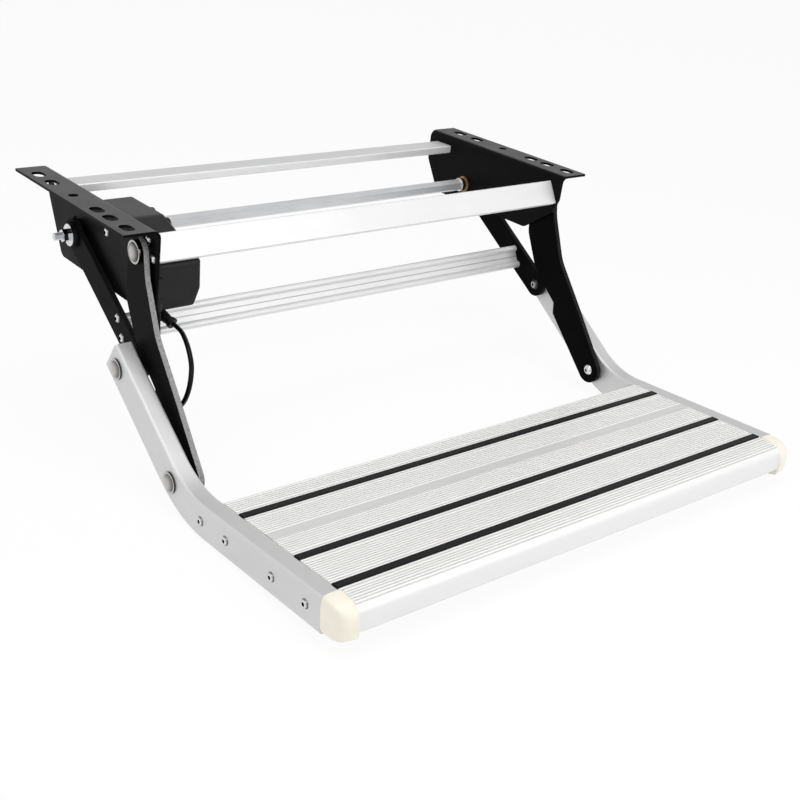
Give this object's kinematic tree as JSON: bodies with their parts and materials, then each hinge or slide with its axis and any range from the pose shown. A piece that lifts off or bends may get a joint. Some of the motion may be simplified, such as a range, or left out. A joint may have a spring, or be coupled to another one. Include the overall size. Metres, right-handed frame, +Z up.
{
  "type": "electric pull-out caravan step",
  "caption": "Motorised entrance step: flanged under-floor brackets and crossbars carry folding arms that lower a ribbed aluminium tread hung between two bent side rails.",
  "frame": {"origin": "midway between the two round flange holes, on the top face of the mounting flanges", "axes": "+Z up out of the flanges, X across the step with the motor on -X, front of the step towards -Y"},
  "size_m": [0.651, 0.6463, 0.2676],
  "materials": {
    "black_powder_coat": "satin black powder coat",
    "satin_aluminium": "satin extruded aluminium",
    "tread_aluminium": "satin anodised, ribbed",
    "zinc": "bright zinc plate",
    "shaft_steel": "drawn steel",
    "bronze": "sintered bronze",
    "black_plastic": "fine matt moulding",
    "motor_steel": "dark paint",
    "gearbox_metal": "die cast",
    "ivory_plastic": "smooth ivory moulding",
    "white_nylon": "plain nylon",
    "grip_rubber": "matt black-brown",
    "lead_rubber": "matt black sheath"
  },
  "bodies": {
    "frame": {"left_bracket": "black_powder_coat", "right_bracket": "black_powder_coat", "front_crossbar": "satin_aluminium", "rear_crossbar": "satin_aluminium", "crossbar_screws": "zinc", "shaft_bushes": "bronze", "front_pivot_spacers": "zinc", "front_pivot_bolts": "zinc", "front_pivot_nuts": "zinc", "motor_cover": "black_plastic", "motor_can": "motor_steel", "gearbox_housing": "gearbox_metal", "gearbox_screws": "zinc", "cover_screws": "zinc", "motor_lead_gland": "black_plastic", "motor_lead": "lead_rubber", "motor_lead_plug": "black_plastic"},
    "drive_arms": {"drive_shaft": "shaft_steel", "output_hub": "shaft_steel", "shaft_collar": "zinc", "left_drive_arm": "black_powder_coat", "right_drive_arm": "black_powder_coat", "shaft_washers": "zinc", "shaft_nuts": "zinc", "lower_crossbar": "satin_aluminium", "lower_crossbar_screws": "zinc"},
    "left_steering_arm": {"left_front_arm": "black_powder_coat", "left_arm_stud": "zinc"},
    "right_steering_arm": {"right_front_arm": "black_powder_coat", "right_arm_stud": "zinc"},
    "step": {"left_rail": "satin_aluminium", "right_rail": "satin_aluminium", "left_end_cap": "ivory_plastic", "right_end_cap": "ivory_plastic", "rear_plank": "tread_aluminium", "front_plank": "tread_aluminium", "rear_grip_strip": "grip_rubber", "middle_grip_strip": "grip_rubber", "front_grip_strip": "grip_rubber", "drive_pivot_bolts": "zinc", "front_rail_pins": "zinc", "rail_washers": "white_nylon", "plank_screws": "zinc"}
  },
  "joints": [
    {"name": "fold", "type": "hinge", "parent": "frame", "child": "drive_arms", "pos_m": [0, 0.039, -0.057], "axis": [1, 0, 0], "range_deg": [0, 112], "deforming": ["motor_lead"]},
    {"name": "left_front_arm_swing", "type": "hinge", "parent": "frame", "child": "left_steering_arm", "pos_m": [-0.293, -0.112, -0.03], "axis": [1, 0, 0], "range_deg": [0, 74]},
    {"name": "right_front_arm_swing", "type": "hinge", "parent": "frame", "child": "right_steering_arm", "pos_m": [0.293, -0.112, -0.03], "axis": [1, 0, 0], "range_deg": [0, 74]},
    {"name": "step_swing", "type": "hinge", "parent": "drive_arms", "child": "step", "pos_m": [0, -0.11407, -0.15489], "axis": [1, 0, 0], "range_deg": [-131.4, 0]}
  ],
  "couplings": [
    {"joint": "left_front_arm_swing", "follows": "fold", "ratio": 0.66049},
    {"joint": "right_front_arm_swing", "follows": "fold", "ratio": 0.66049},
    {"joint": "step_swing", "follows": "fold", "ratio": -1.1724}
  ]
}
